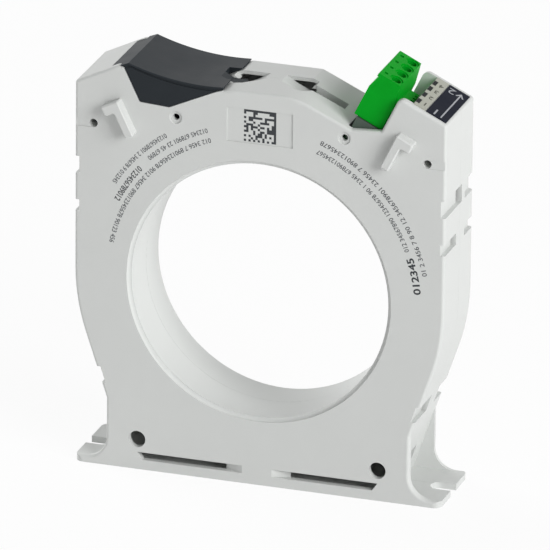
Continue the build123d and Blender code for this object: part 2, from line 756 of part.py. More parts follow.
# Tab from the top surface down through the slot and into the window of the housing
slide_top = cover_end_height - cover_slide_drop
slide_low = slide_top - 1.5 * cover_slide_thickness
slide_bend = cover_notch_end - cover_slide_run
slide_end = ramp_end_x - cover_slide_reach
slide_level = top_height - cover_slide_level
with BuildSketch() as cover_slide:
    with BuildLine():
        Polyline((cover_notch_end + 1, slide_top), (cover_notch_end, slide_top),
                 (slide_bend, slide_level), (slide_end, slide_level),
                 (slide_end, slide_level - cover_slide_thickness),
                 (slide_bend, slide_level - cover_slide_thickness), (cover_notch_end, slide_low),
                 (cover_notch_end + 1, slide_low), close=True)
    make_face()
with BuildPart() as cover_right:
    with BuildSketch(facing(cover_inner_rear)):
        add(cover_wall.sketch)
    extrude(amount=cover_inner_rear - cover_inner_front)
    for y, bend_radius in ((cover_inner_front, front_bend_radius), (cover_rear, rear_bend_radius)):
        with BuildSketch(facing(y)):
            add(cover_profile(cover_edge, 0, cover_outer_leg, cover_inner_leg))
            add(offset(plate_outline(bend_radius), amount=cover_clearance, kind=Kind.INTERSECTION,
                       mode=Mode.PRIVATE), mode=Mode.SUBTRACT)
        extrude(amount=cover_inner_front - cover_front)
    front_rim = cover_right.edges().filter_by(
        lambda e: abs(e.center().Y - cover_front) < 0.01 and e.length > chamber_inner - chamber_outer)
    fillet(front_rim.sort_by(Axis.Z)[-1], cover_edge_round)
    cut_between(cover_groove.sketch, cover_front, cover_front + cover_groove_depth)
    with BuildSketch(facing(cover_inner_leg_width / 2)):
        add(cover_inner_wall.sketch)
    extrude(amount=cover_inner_leg_width)
    # Barb that snaps into the catch of the chamber's outer wall
    with BuildSketch(facing(catch_length / 2 - cover_clearance)):
        with BuildLine():
            Polyline(shoulder_point(cover_edge, -catch_level - cover_clearance),
                     shoulder_point(cover_edge - catch_depth, -catch_level - cover_clearance),
                     shoulder_point(cover_edge, -catch_level - catch_height + cover_clearance), close=True)
        make_face()
    extrude(amount=catch_length - 2 * cover_clearance)
    # Notch around the end of the housing's incline, and the slope beside it
    notch_rear = window_rear + cover_notch_gap
    notch_front = incline_slot_front + cover_slide_gap
    with BuildSketch(Plane.XY.offset(notch_inner[1])):
        with BuildLine():
            Polyline((cover_end - 1, notch_rear), (cover_notch_end, notch_rear),
                     (cover_notch_end, notch_front), (window_outer, notch_front - cover_notch_bevel),
                     (cover_end - 1, notch_front - cover_notch_bevel), close=True)
        make_face()
    extrude(amount=2 * bridge_depth, mode=Mode.SUBTRACT)
    with BuildSketch(facing(incline_slot_rear - cover_slide_gap)):
        add(cover_slide.sketch)
    extrude(amount=incline_slot_rear - incline_slot_front - 2 * cover_slide_gap)
    with BuildSketch(Plane.XY.offset(slide_level)):
        with Locations(((slide_end + ramp_end_x) / 2,
                        (window_front + cover_slide_gap + incline_slot_rear - cover_slide_gap) / 2)):
            Rectangle(cover_slide_reach, incline_slot_rear - window_front - 2 * cover_slide_gap)
    extrude(amount=-cover_slide_thickness)
with BuildPart() as chamber_cover:
    add(mirror(cover_right.part, about=Plane.YZ, mode=Mode.PRIVATE))
chamber_cover.part.label = "chamber_cover"
export_step(chamber_cover.part, "parts/chamber_cover.step")

# Pluggable terminal block in the right chamber
block_y = front_inner_y + header_front_room + header_length / 2
pole_ys = [block_y + (pole - (pole_count - 1) / 2) * pole_pitch for pole in range(pole_count)]
header_outer = chamber_outer + header_outer_room
header_inner = chamber_inner - header_inner_room
header_middle = (header_outer + header_inner) / 2
pin_offset = header_outer + pin_setback
cage_offset = pin_offset - cage_shift
wire_hole_offset = cage_offset - wire_hole_shift
test_hole_offset = wire_hole_offset + test_hole_spacing
plug_inner = chamber_inner + plug_inner_reach
plug_outer = chamber_outer + plug_outer_setback
plug_lip_inner = plug_inner - plug_lip_setback
plug_latch_outer = chamber_outer + plug_latch_gap
board_bottom = board_ledge - chamber_depth
board_top = board_bottom + board_thickness
header_top = board_top + header_height
header_floor_top = board_top + header_floor
insert_bottom = header_floor_top + plug_clearance
plug_shoulder = header_top + plug_seat_gap
insert_outer = header_outer + header_wall + plug_clearance
insert_inner = header_inner - header_wall - plug_clearance
insert_length = header_length - 2 * header_end_wall - 2 * plug_clearance
cage_room = 0.3


def along_shoulder(y):
    """Section plane of the terminal block at depth y: X outwards, Y out of the chamber."""
    return shoulder_side.offset(-y)


with BuildPart() as terminal_plug:
    block_rear = block_y + block_length / 2
    with BuildSketch(along_shoulder(block_rear)):
        with BuildLine():
            Polyline((-plug_lip_inner, plug_top), (-plug_lip_inner, plug_top - plug_lip_height),
                     (-plug_lip_inner + plug_lip, plug_top - plug_lip_height),
                     (-plug_inner, plug_top - plug_flare_depth), (-plug_inner, plug_shoulder),
                     (-plug_latch_outer, plug_shoulder), (-plug_latch_outer, plug_latch_top),
                     (-plug_outer + plug_taper, plug_latch_top), (-plug_outer, plug_top), close=True)
        make_face()
    extrude(amount=block_length)
    fillet(terminal_plug.edges().filter_by(Axis.Y).sort_by(Axis.Z)[-1], plug_round)
    # Only the middle of the latch reaches out to the chamber's wall
    latch_front = block_y - plug_latch_length / 2
    for y_near, y_far in ((block_rear - block_length, latch_front),
                          (latch_front + plug_latch_length, block_rear)):
        with BuildSketch(along_shoulder(y_far)):
            with Locations(((-plug_latch_outer - plug_outer + plug_taper) / 2,
                            (plug_latch_top + plug_shoulder) / 2)):
                Rectangle(plug_outer - plug_taper - plug_latch_outer, plug_latch_top - plug_shoulder)
        extrude(amount=y_far - y_near, mode=Mode.SUBTRACT)
    rib_pitch = plug_latch_length / (plug_rib_count + 1)
    with BuildSketch(shoulder_up.offset(plug_latch_top)):
        with Locations((-plug_latch_outer - plug_rib_depth / 2, block_y)):
            with GridLocations(1, rib_pitch, 1, plug_rib_count):
                Rectangle(plug_rib_depth * 2, rib_pitch / 2)
    extrude(amount=-(plug_latch_top - plug_shoulder), mode=Mode.SUBTRACT)
    with BuildSketch(shoulder_up.offset(plug_shoulder)):
        with Locations((-(insert_outer + insert_inner) / 2, block_y)):
            Rectangle(insert_inner - insert_outer, insert_length)
    extrude(amount=insert_bottom - plug_shoulder)
    for y in pole_ys:
        # Wire entry with its dish, and the square test hole beside it
        with BuildSketch(shoulder_up.offset(plug_top)):
            with Locations((-wire_hole_offset, y)):
                Circle(wire_dish_radius)
        extrude(amount=-wire_dish_depth, mode=Mode.SUBTRACT)
        with BuildSketch(shoulder_up.offset(plug_top)):
            with Locations((-wire_hole_offset, y)):
                Circle(wire_hole_diameter / 2)
        extrude(amount=clamp_level - plug_top, mode=Mode.SUBTRACT)
        with BuildSketch(shoulder_up.offset(plug_top)):
            with Locations((-test_hole_offset, y)):
                Rectangle(test_hole_size, test_hole_size)
        extrude(amount=-test_hole_depth, mode=Mode.SUBTRACT)
        # Room for the clamp, the contact below it and the screw beside it
        with BuildSketch(along_shoulder(y + cage_width / 2 + cage_room)):
            with Locations((-cage_offset, clamp_level)):
                Rectangle(cage_length + 2 * cage_room, cage_height + 2 * cage_room)
        extrude(amount=cage_width + 2 * cage_room, mode=Mode.SUBTRACT)
        with BuildSketch(shoulder_up.offset(insert_bottom)):
            with Locations((-pin_offset, y)):
                Rectangle(contact_size + 2 * contact_room, contact_size + 2 * contact_room)
        extrude(amount=clamp_level - insert_bottom, mode=Mode.SUBTRACT)
        with BuildSketch(inward_plane.offset(plug_inner)):
            with Locations((clamp_level, y)):
                Circle(screw_head_diameter / 2 + cage_room / 2)
        extrude(amount=-(plug_inner - cage_offset), mode=Mode.SUBTRACT)
terminal_plug.part.label = "terminal_plug"
export_step(terminal_plug.part, "parts/terminal_plug.step")

# Clamp, screw and contact of each pole
finger_offset = pin_offset + contact_size / 2 - contact_wall / 2
finger_face = pin_offset + contact_size / 2
contact_bottom = insert_bottom + contact_room
cage_bottom = clamp_level - cage_height / 2
contact_top = cage_bottom - cage_room - contact_room
screw_head_outer = plug_inner - screw_head_recess
for pole, y in enumerate(pole_ys, start=1):
    with BuildPart() as wire_clamp:
        with BuildSketch(shoulder_up.offset(cage_bottom)):
            with Locations((-cage_offset, y)):
                Rectangle(cage_length, cage_width)
                Rectangle(cage_length - 2 * cage_wall, cage_width - 2 * cage_wall, mode=Mode.SUBTRACT)
        extrude(amount=cage_height)
        with BuildSketch(inward_plane.offset(cage_offset)):
            with Locations((clamp_level, y)):
                Circle(screw_shank_diameter / 2 + contact_room / 2)
        extrude(amount=cage_length, mode=Mode.SUBTRACT)
    wire_clamp.part.label = f"wire_clamp_{pole}"
    export_step(wire_clamp.part, f"parts/wire_clamp_{pole}.step")

    with BuildPart() as clamp_screw:
        with BuildSketch(inward_plane.offset(screw_head_outer)):
            with Locations((clamp_level, y)):
                Circle(screw_head_diameter / 2)
        extrude(amount=-screw_head_height)
        with BuildSketch(inward_plane.offset(screw_head_outer)):
            with Locations((clamp_level, y)):
                Rectangle(screw_slot_width, screw_head_diameter)
        extrude(amount=-screw_slot_depth, mode=Mode.SUBTRACT)
        with BuildSketch(inward_plane.offset(finger_face)):
            with Locations((clamp_level, y)):
                Circle(screw_shank_diameter / 2)
        extrude(amount=screw_head_outer - screw_head_height - finger_face)
    clamp_screw.part.label = f"clamp_screw_{pole}"
    export_step(clamp_screw.part, f"parts/clamp_screw_{pole}.step")

    with BuildPart() as plug_contact:
        with BuildSketch(shoulder_up.offset(contact_bottom)):
            with Locations((-pin_offset, y)):
                Rectangle(contact_size, contact_size)
                Rectangle(contact_size - 2 * contact_wall, contact_size - 2 * contact_wall,
                          mode=Mode.SUBTRACT)
        extrude(amount=contact_top - contact_bottom)
        with BuildSketch(shoulder_up.offset(contact_top - contact_wall)):
            with Locations((-finger_offset, y)):
                Rectangle(contact_wall, contact_size)
        extrude(amount=clamp_level + screw_shank_diameter / 2 - contact_top + 2 * contact_wall)
    plug_contact.part.label = f"plug_contact_{pole}"
    export_step(plug_contact.part, f"parts/plug_contact_{pole}.step")

    with BuildPart() as header_pin:
        with BuildSketch(shoulder_up.offset(board_bottom - pin_tail)):
            with Locations((-pin_offset, y)):
                Rectangle(pin_size, pin_size)
        extrude(amount=insert_bottom + pin_engagement - board_bottom + pin_tail)
        chamfer(header_pin.faces().sort_by(Axis.Z)[-1].edges(), pin_chamfer)
    header_pin.part.label = f"header_pin_{pole}"
    export_step(header_pin.part, f"parts/header_pin_{pole}.step")

# Header that the plug's insert slides into, open at the top
with BuildPart() as pin_header:
    with BuildSketch(shoulder_up.offset(board_top)):
        with Locations((-header_middle, block_y)):
            Rectangle(header_inner - header_outer, header_length)
    extrude(amount=header_height)
    with BuildSketch(shoulder_up.offset(header_floor_top)):
        with Locations((-header_middle, block_y)):
            Rectangle(header_inner - header_outer - 2 * header_wall, header_length - 2 * header_end_wall)
    extrude(amount=header_top - header_floor_top, mode=Mode.SUBTRACT)
    with BuildSketch(shoulder_up.offset(board_top)):
        with Locations(*[(-pin_offset, y) for y in pole_ys]):
            Rectangle(pin_size, pin_size)
    extrude(amount=header_floor, mode=Mode.SUBTRACT)
pin_header.part.label = "pin_header"
export_step(pin_header.part, "parts/pin_header.step")

# Board on its ledges, with holes for the pins and for the leads of the winding
lead_ys = [lead_slot_y - lead_spacing / 2, lead_slot_y + lead_spacing / 2]
with BuildPart() as circuit_board:
    with BuildSketch(shoulder_up.offset(board_bottom)):
        with Locations((ledge_middle, 0)):
            Rectangle(ledge_length - 2 * board_clearance,
                      rear_inner_y - front_inner_y - 2 * board_clearance)
        with Locations(*[(-pin_offset, y) for y in pole_ys]):
            Circle(pin_size * sqrt(0.5) + contact_room / 2, mode=Mode.SUBTRACT)
        with Locations(*[(-lead_slot_offset, y) for y in lead_ys]):
            Circle(lead_diameter / 2 + contact_room / 2, mode=Mode.SUBTRACT)
    extrude(amount=board_thickness)
circuit_board.part.label = "circuit_board"
export_step(circuit_board.part, "parts/circuit_board.step")

# Ring assembly, from the outer tape to the core
bore_axis = Axis((0, 0, bore_height), (0, 1, 0))
tape_inner = tube_radius + ring_clearance
tape_outer = ring_seat_radius - ring_clearance
tape_half = rear_inner_y - cushion_thickness
ring_middle = (tape_inner + tape_outer) / 2
tape_width = tape_outer - tape_inner
winding_width = tape_width - 2 * tape_thickness
winding_half = tape_half - tape_thickness
case_width = winding_width - 2 * winding_thickness
case_half = winding_half - winding_thickness
core_width = case_width - 2 * case_wall - 2 * case_gap
core_half = case_half - case_wall - case_gap
ring_plane = Plane.XY.offset(bore_height)

with BuildPart() as winding_tape:
    with BuildSketch(ring_plane):
        with Locations((ring_middle, 0)):
            Rectangle(tape_width, 2 * tape_half)
            Rectangle(winding_width, 2 * winding_half, mode=Mode.SUBTRACT)
    revolve(axis=bore_axis)
winding_tape.part.label = "winding_tape"
export_step(winding_tape.part, "parts/winding_tape.step")

with BuildPart() as secondary_winding:
    with BuildSketch(ring_plane):
        with Locations((ring_middle, 0)):
            Rectangle(winding_width, 2 * winding_half)
            Rectangle(case_width, 2 * case_half, mode=Mode.SUBTRACT)
    revolve(axis=bore_axis)
secondary_winding.part.label = "secondary_winding"
export_step(secondary_winding.part, "parts/secondary_winding.step")

with BuildPart() as core_trough:
    with BuildSketch(ring_plane):
        with Locations((ring_middle, -case_wall / 2)):
            Rectangle(case_width, 2 * case_half - case_wall)
        with Locations((ring_middle, case_wall)):
            Rectangle(case_width - 2 * case_wall, 2 * case_half, mode=Mode.SUBTRACT)
    revolve(axis=bore_axis)
core_trough.part.label = "core_trough"
export_step(core_trough.part, "parts/core_trough.step")

with BuildPart() as core_lid:
    with BuildSketch(ring_plane):
        with Locations((ring_middle, case_half - case_wall / 2)):
            Rectangle(case_width, case_wall)
    revolve(axis=bore_axis)
core_lid.part.label = "core_lid"
export_step(core_lid.part, "parts/core_lid.step")

with BuildPart() as ring_core:
    with BuildSketch(ring_plane):
        with Locations((ring_middle, 0)):
            Rectangle(core_width, 2 * core_half)
    revolve(axis=bore_axis)
ring_core.part.label = "ring_core"
export_step(ring_core.part, "parts/ring_core.step")

for name, y in (("cushion_front", front_inner_y), ("cushion_rear", rear_inner_y - cushion_thickness)):
    with BuildPart() as cushion:
        with BuildSketch(ring_plane):
            with Locations((ring_middle, y + cushion_thickness / 2)):
                Rectangle(tape_width - 2 * cushion_inset, cushion_thickness)
        revolve(axis=bore_axis)
    cushion.part.label = name
    export_step(cushion.part, f"parts/{name}.step")

# Leads from the ring through the chamber's floor to the top of the board
lead_x = half_width - lead_slot_offset * cos(tilt)
lead_z = shoulder_height + lead_slot_offset * sin(tilt) - bore_height
along_lead = lead_x * sin(tilt) + lead_z * cos(tilt)
lead_reach = tape_outer + lead_gap
lead_bottom = sqrt(along_lead**2 - lead_x**2 - lead_z**2 + lead_reach**2) - along_lead
for number, y in enumerate(lead_ys, start=1):
    with BuildPart() as lead_wire:
        with BuildSketch(shoulder_up.offset(lead_bottom)):
            with Locations((-lead_slot_offset, y)):
                Circle(lead_diameter / 2)
        extrude(amount=board_top + lead_solder_length - lead_bottom)
    lead_wire.part.label = f"lead_wire_{number}"
    export_step(lead_wire.part, f"parts/lead_wire_{number}.step")

# Labels on the right shoulder
marking_inner = chamber_outer - marking_margin
marking_outer = marking_inner - marking_width
label_front = front_y + label_front_margin
label_rear = rear_y - label_rear_margin
labels = (
    ("terminal_marking", marking_outer, marking_inner),
    ("direction_label", direction_outer, marking_outer - label_gap),
)
for name, outer, inner in labels:
    with BuildPart() as label:
        with BuildSketch(shoulder_up):
            with Locations((-(outer + inner) / 2, (label_front + label_rear) / 2)):
                Rectangle(inner - outer, label_rear - label_front)
        extrude(amount=label_thickness)
    label.part.label = name
    export_step(label.part, f"parts/{name}.step")
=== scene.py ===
# Differential-current transformer: light grey two-shell housing, slate cover, green terminal plug.
# Everything is in metres in the housing's own frame: +X across the front, -Y out of the front,
# +Z up.
import random
from math import cos, radians, sin

import bmesh
import bpy
from mathutils import Matrix, Vector


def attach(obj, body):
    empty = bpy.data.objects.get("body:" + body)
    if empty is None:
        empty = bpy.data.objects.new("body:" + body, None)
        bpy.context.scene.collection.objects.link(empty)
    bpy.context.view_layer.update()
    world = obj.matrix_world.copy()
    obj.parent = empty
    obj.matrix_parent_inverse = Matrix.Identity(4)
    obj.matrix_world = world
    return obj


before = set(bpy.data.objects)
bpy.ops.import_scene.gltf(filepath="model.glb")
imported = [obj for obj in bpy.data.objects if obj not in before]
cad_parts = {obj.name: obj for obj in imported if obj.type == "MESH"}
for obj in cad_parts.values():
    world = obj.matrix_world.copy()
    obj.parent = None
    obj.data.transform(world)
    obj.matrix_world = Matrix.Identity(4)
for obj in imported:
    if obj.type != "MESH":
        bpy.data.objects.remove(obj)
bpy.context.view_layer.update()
mm = 0.001
print("frame loaded:", len(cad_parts), "nodes")

# Where the housing's faces lie. The right shoulder is given by its outer corner and its slope.
housing = {
    "frontY": -13.5 * mm,
    "boreZ": 61.4 * mm,
    "shoulderX": 57.5 * mm,
    "shoulderZ": 120.9 * mm,
    "shoulderAngle": radians(26),
}


# Colours are sRGB hex values and are turned to linear here
def srgb(code):
    channels = [int(code[i:i + 2], 16) / 255 for i in (1, 3, 5)]
    linear = [c / 12.92 if c <= 0.04045 else ((c + 0.055) / 1.055) ** 2.4 for c in channels]
    return (*linear, 1.0)


def addNode(tree, kind, settings, inputs):
    node = tree.nodes.new(kind)
    for key, value in settings.items():
        setattr(node, key, value)
    for key, value in inputs.items():
        if isinstance(value, bpy.types.NodeSocket):
            tree.links.new(value, node.inputs[key])
        else:
            node.inputs[key].default_value = value
    return node


def newMaterial(name):
    material = bpy.data.materials.new(name)
    material.use_nodes = True
    material.node_tree.nodes.clear()
    return material


# Pattern scale on Object coordinates for features of that many millimetres
def perMm(size):
    return 1.0 / (size * mm)


# What all moulded surfaces share. As the cloud goes from low to high, the roughness goes from
# polishSpread below a look's own value to polishSpread above it. The specular level is for the
# looks that give none.
moulding = {"cloudDetail": 3.0, "cloudRoughness": 0.55, "cloudLow": 0.3, "cloudHigh": 0.7,
            "grainDetail": 2.0, "grainRoughness": 0.6, "polishSpread": 0.05, "specular": 0.5}


# A moulded thermoplastic: the flow of the melt clouds its colour a little, the spark-eroded
# mould gives it a fine grain, and handling polishes the grain unevenly. The real grain is about
# 0.1 mm and is drawn coarser, so that it shows. Inputs 6 and 7 and output 2 of a Mix node are
# its colours.
def mouldedPlastic(look):
    material = newMaterial(look["name"])
    tree = material.node_tree
    place = addNode(tree, "ShaderNodeTexCoord", {}, {}).outputs["Object"]
    cloud = addNode(tree, "ShaderNodeTexNoise", {}, {
        "Vector": place, "Scale": perMm(look["cloudMm"]), "Detail": moulding["cloudDetail"],
        "Roughness": moulding["cloudRoughness"]})
    tint = addNode(tree, "ShaderNodeMix", {"data_type": "RGBA"}, {
        "Factor": cloud.outputs["Fac"], 6: srgb(look["dark"]), 7: srgb(look["light"])})
    grain = addNode(tree, "ShaderNodeTexNoise", {}, {
        "Vector": place, "Scale": perMm(look["grainMm"]), "Detail": moulding["grainDetail"],
        "Roughness": moulding["grainRoughness"]})
    bump = addNode(tree, "ShaderNodeBump", {}, {
        "Strength": look["grainStrength"], "Distance": look["grainDepthMm"] * mm,
        "Height": grain.outputs["Fac"]})
    polish = addNode(tree, "ShaderNodeMapRange", {}, {
        "Value": cloud.outputs["Fac"],
        "From Min": moulding["cloudLow"], "From Max": moulding["cloudHigh"],
        "To Min": look["roughness"] - moulding["polishSpread"],
        "To Max": look["roughness"] + moulding["polishSpread"]})
    shader = addNode(tree, "ShaderNodeBsdfPrincipled", {}, {
        "Base Color": tint.outputs[2], "Roughness": polish.outputs["Result"],
        "IOR": look["ior"], "Specular IOR Level": look.get("specular", moulding["specular"]),
        "Normal": bump.outputs["Normal"]})
    addNode(tree, "ShaderNodeOutputMaterial", {}, {"Surface": shader.outputs[0]})
    return material


# What all drawn and rolled surfaces share
drawing = {"lineDetail": 2.0, "polishSpread": 0.06}


# A plated, rolled or drawn metal: fine lines along one axis, drawn coarse enough to show
def drawnMetal(look):
    material = newMaterial(look["name"])
    tree = material.node_tree
    place = addNode(tree, "ShaderNodeTexCoord", {}, {}).outputs["Object"]
    stretch = addNode(tree, "ShaderNodeMapping", {}, {"Vector": place, "Scale": look["stretch"]})
    lines = addNode(tree, "ShaderNodeTexNoise", {}, {
        "Vector": stretch.outputs["Vector"], "Scale": perMm(look["lineMm"]),
        "Detail": drawing["lineDetail"]})
    tint = addNode(tree, "ShaderNodeMix", {"data_type": "RGBA"}, {
        "Factor": lines.outputs["Fac"], 6: srgb(look["dark"]), 7: srgb(look["light"])})
    polish = addNode(tree, "ShaderNodeMapRange", {}, {
        "Value": lines.outputs["Fac"],
        "To Min": look["roughness"] - drawing["polishSpread"],
        "To Max": look["roughness"] + drawing["polishSpread"]})
    shader = addNode(tree, "ShaderNodeBsdfPrincipled", {}, {
        "Base Color": tint.outputs[2], "Metallic": 1.0, "Roughness": polish.outputs["Result"]})
    addNode(tree, "ShaderNodeOutputMaterial", {}, {"Surface": shader.outputs[0]})
    return material


plastics = {
    # Polycarbonate, light grey, finely eroded mould: satin, a little cool
    "housing_plastic": {"name": "lightGreyPolycarbonate", "dark": "#CFD1CF", "light": "#D5D7D5",
                        "cloudMm": 18.0, "grainMm": 0.35, "grainDepthMm": 0.012,
                        "grainStrength": 0.35, "roughness": 0.46, "ior": 1.58},
    # Glass-filled polyamide, slate: coarser grain, duller
    "cover_plastic": {"name": "slatePolyamide", "dark": "#25292D", "light": "#2B3034",
                      "cloudMm": 12.0, "grainMm": 0.45, "grainDepthMm": 0.03,
                      "grainStrength": 0.5, "roughness": 0.42, "ior": 1.53, "specular": 0.12},
    # Polyamide 6.6, terminal green: saturated, with hardly any gloss over the green
    "plug_plastic": {"name": "greenPolyamide", "dark": "#05981F", "light": "#09A627",
                     "cloudMm": 6.0, "grainMm": 0.3, "grainDepthMm": 0.01,
                     "grainStrength": 0.3, "roughness": 0.42, "ior": 1.53, "specular": 0.04},
    # Polyamide header on the board: dull dark green
    "header_plastic": {"name": "darkGreenPolyamide", "dark": "#39483E", "light": "#425247",
                       "cloudMm": 6.0, "grainMm": 0.3, "grainDepthMm": 0.01,
                       "grainStrength": 0.3, "roughness": 0.5, "ior": 1.53},
    # Epoxy glass board with its solder mask: dark green, glossy, weave just showing
    "board_laminate": {"name": "epoxyGlassBoard", "dark": "#1E4A2C", "light": "#275A36",
                       "cloudMm": 0.5, "grainMm": 0.5, "grainDepthMm": 0.01,
                       "grainStrength": 0.4, "roughness": 0.3, "ior": 1.52},
    # Polypropylene case around the core: milky, waxy
    "case_plastic": {"name": "naturalPolypropylene", "dark": "#C9C6B8", "light": "#D6D3C6",
                     "cloudMm": 8.0, "grainMm": 0.4, "grainDepthMm": 0.01,
                     "grainStrength": 0.3, "roughness": 0.4, "ior": 1.49},
    # Open-cell cushion: charcoal, porous
    "cushion_foam": {"name": "polyurethaneFoam", "dark": "#2B2C2E", "light": "#3A3B3D",
                     "cloudMm": 0.8, "grainMm": 0.5, "grainDepthMm": 0.2,
                     "grainStrength": 0.9, "roughness": 0.9, "ior": 1.5},
    # Polyester winding tape: yellowish film with a soft gloss
    "tape_film": {"name": "polyesterTape", "dark": "#C9A94C", "light": "#D3B65C",
                  "cloudMm": 6.0, "grainMm": 1.0, "grainDepthMm": 0.01,
                  "grainStrength": 0.2, "roughness": 0.25, "ior": 1.57},
    # Lead insulation: soft white vinyl
    "lead_insulation": {"name": "whiteVinyl", "dark": "#D8D8D2", "light": "#E2E2DC",
                        "cloudMm": 4.0, "grainMm": 0.4, "grainDepthMm": 0.005,
                        "grainStrength": 0.2, "roughness": 0.4, "ior": 1.54},
    # Printed film labels: matt, smooth beside the housing's grain
    "label_cream": {"name": "creamLabelFilm", "dark": "#AEAFA4", "light": "#B5B6AB",
                    "cloudMm": 5.0, "grainMm": 0.4, "grainDepthMm": 0.004,
                    "grainStrength": 0.3, "roughness": 0.55, "ior": 1.5, "specular": 0.3},
    "label_navy": {"name": "navyLabelFilm", "dark": "#10131F", "light": "#151A28",
                   "cloudMm": 5.0, "grainMm": 0.4, "grainDepthMm": 0.004,
                   "grainStrength": 0.3, "roughness": 0.5, "ior": 1.5, "specular": 0.06},
}
metals = {
    # Nickel over brass: warm grey, drawn strip
    "nickel_brass": {"name": "nickelPlatedBrass", "dark": "#B5AE9C", "light": "#CFC9B8",
                     "stretch": (1.0, 1.0, 0.08), "lineMm": 0.12, "roughness": 0.28},
    # Zinc on steel: bluish grey, rolled
    "zinc_steel": {"name": "zincPlatedSteel", "dark": "#A4A8AC", "light": "#C2C6CA",
                   "stretch": (0.1, 1.0, 1.0), "lineMm": 0.15, "roughness": 0.34},
    # Enamelled winding wire: turns run through the ring, so the lines cross it
    "winding_copper": {"name": "enamelledCopper", "dark": "#8A4A26", "light": "#C27A48",
                       "stretch": (1.0, 0.05, 1.0), "lineMm": 0.6, "roughness": 0.3},
    # Wound core strip: dark silvery edges
    "core_strip": {"name": "nickelIronStrip", "dark": "#76787A", "light": "#A2A4A6",
                   "stretch": (1.0, 0.05, 1.0), "lineMm": 0.3, "roughness": 0.4},
}
finishes = {slot: mouldedPlastic(look) for slot, look in plastics.items()}
finishes.update({slot: drawnMetal(look) for slot, look in metals.items()})

# Inks, printed or lasered on the faces: thin, dull, slightly broken by the grain below. Each
# has the film's values, apart from its own.
inkFilm = {"cloudMm": 0.7, "grainMm": 0.3, "grainDepthMm": 0.004, "grainStrength": 0.3,
           "roughness": 0.5, "ior": 1.48}
inks = {
    "greyInk": {"name": "greyPadPrint", "dark": "#43464A", "light": "#535659", "roughness": 0.55},
    "darkInk": {"name": "darkGreyPadPrint", "dark": "#34373A", "light": "#414447",
                "roughness": 0.55, "specular": 0.3},
    "blackInk": {"name": "blackPadPrint", "dark": "#1A1B1D", "light": "#242527", "specular": 0.1},
    "oliveInk": {"name": "oliveGreyPadPrint", "dark": "#484940", "light": "#55564B",
                 "specular": 0.3},
    "paleInk": {"name": "palePadPrint", "dark": "#A0A3A8", "light": "#ABAEB2"},
}
ink = {key: mouldedPlastic({**inkFilm, **look}) for key, look in inks.items()}

# The CAD nodes' materials are named after their slots
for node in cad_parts.values():
    for holder in node.material_slots:
        slotName = holder.material.name.split(".")[0]
        holder.material = finishes[slotName]
print("materials:", len(finishes), "finishes and", len(ink), "inks")


# A finished piece: its form already lies in the housing's frame
def placePiece(name, form, material, body):
    bmesh.ops.recalc_face_normals(form, faces=form.faces)
    mesh = bpy.data.meshes.new(name)
    form.to_mesh(mesh)
    form.free()
    mesh.materials.append(material)
    piece = bpy.data.objects.new(name, mesh)
    bpy.context.scene.collection.objects.link(piece)
    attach(piece, body)


# Digits come from Blender's own font. The merge distance is in sizes of that font. The lower the
# mitre limit, the further a sharp corner may move when the outline is widened.
digits = {"curveSteps": 4, "mergeDistance": 0.0001, "mitreLimit": 0.5}


# Moves the outline of a flat form outwards, by the same gain at every side
def widenOutline(form, gain):
    shifts = {}
    for vert in form.verts:
        outward = []
        for edge in vert.link_edges:
            if edge.is_boundary:
                run = (edge.verts[1].co - edge.verts[0].co).normalized()
                normal = Vector((run.y, -run.x, 0))
                inner = edge.link_faces[0].calc_center_median() - edge.verts[0].co
                outward.append(-normal if normal.dot(inner) > 0 else normal)
        if len(outward) == 2:
            spread = max(1 + outward[0].dot(outward[1]), digits["mitreLimit"])
            shifts[vert] = (outward[0] + outward[1]) * (gain / spread)
    for vert, shift in shifts.items():
        vert.co += shift


# A flat form becomes a film of that thickness, upwards
def raiseFilm(form, faces, film):
    raised = bmesh.ops.extrude_face_region(form, geom=faces)
    bmesh.ops.translate(form, vec=(0, 0, film),
                        verts=[g for g in raised["geom"] if isinstance(g, bmesh.types.BMVert)])


# Digits as a solid ink film, from 0 to width and 0 to height, thickness along Z. The stroke is
# what each side of the font's own strokes gains, in sizes of the font. A width of 0 keeps the
# font's proportions.
def digitFilm(text, width, height, film, stroke):
    curve = bpy.data.curves.new("digits", "FONT")
    curve.body = text
    curve.resolution_u = digits["curveSteps"]
    holder = bpy.data.objects.new("digits", curve)
    mesh = bpy.data.meshes.new_from_object(holder)
    bpy.data.objects.remove(holder)
    form = bmesh.new()
    form.from_mesh(mesh)
    bpy.data.meshes.remove(mesh)
    bmesh.ops.remove_doubles(form, verts=form.verts, dist=digits["mergeDistance"])
    widenOutline(form, stroke)
    xs = [vert.co.x for vert in form.verts]
    ys = [vert.co.y for vert in form.verts]
    tall = height / (max(ys) - min(ys))
    wide = width / (max(xs) - min(xs)) if width else tall
    bmesh.ops.translate(form, vec=(-min(xs), -min(ys), 0), verts=form.verts)
    bmesh.ops.scale(form, vec=(wide, tall, 1), verts=form.verts)
    raiseFilm(form, form.faces[:], film)
    return form


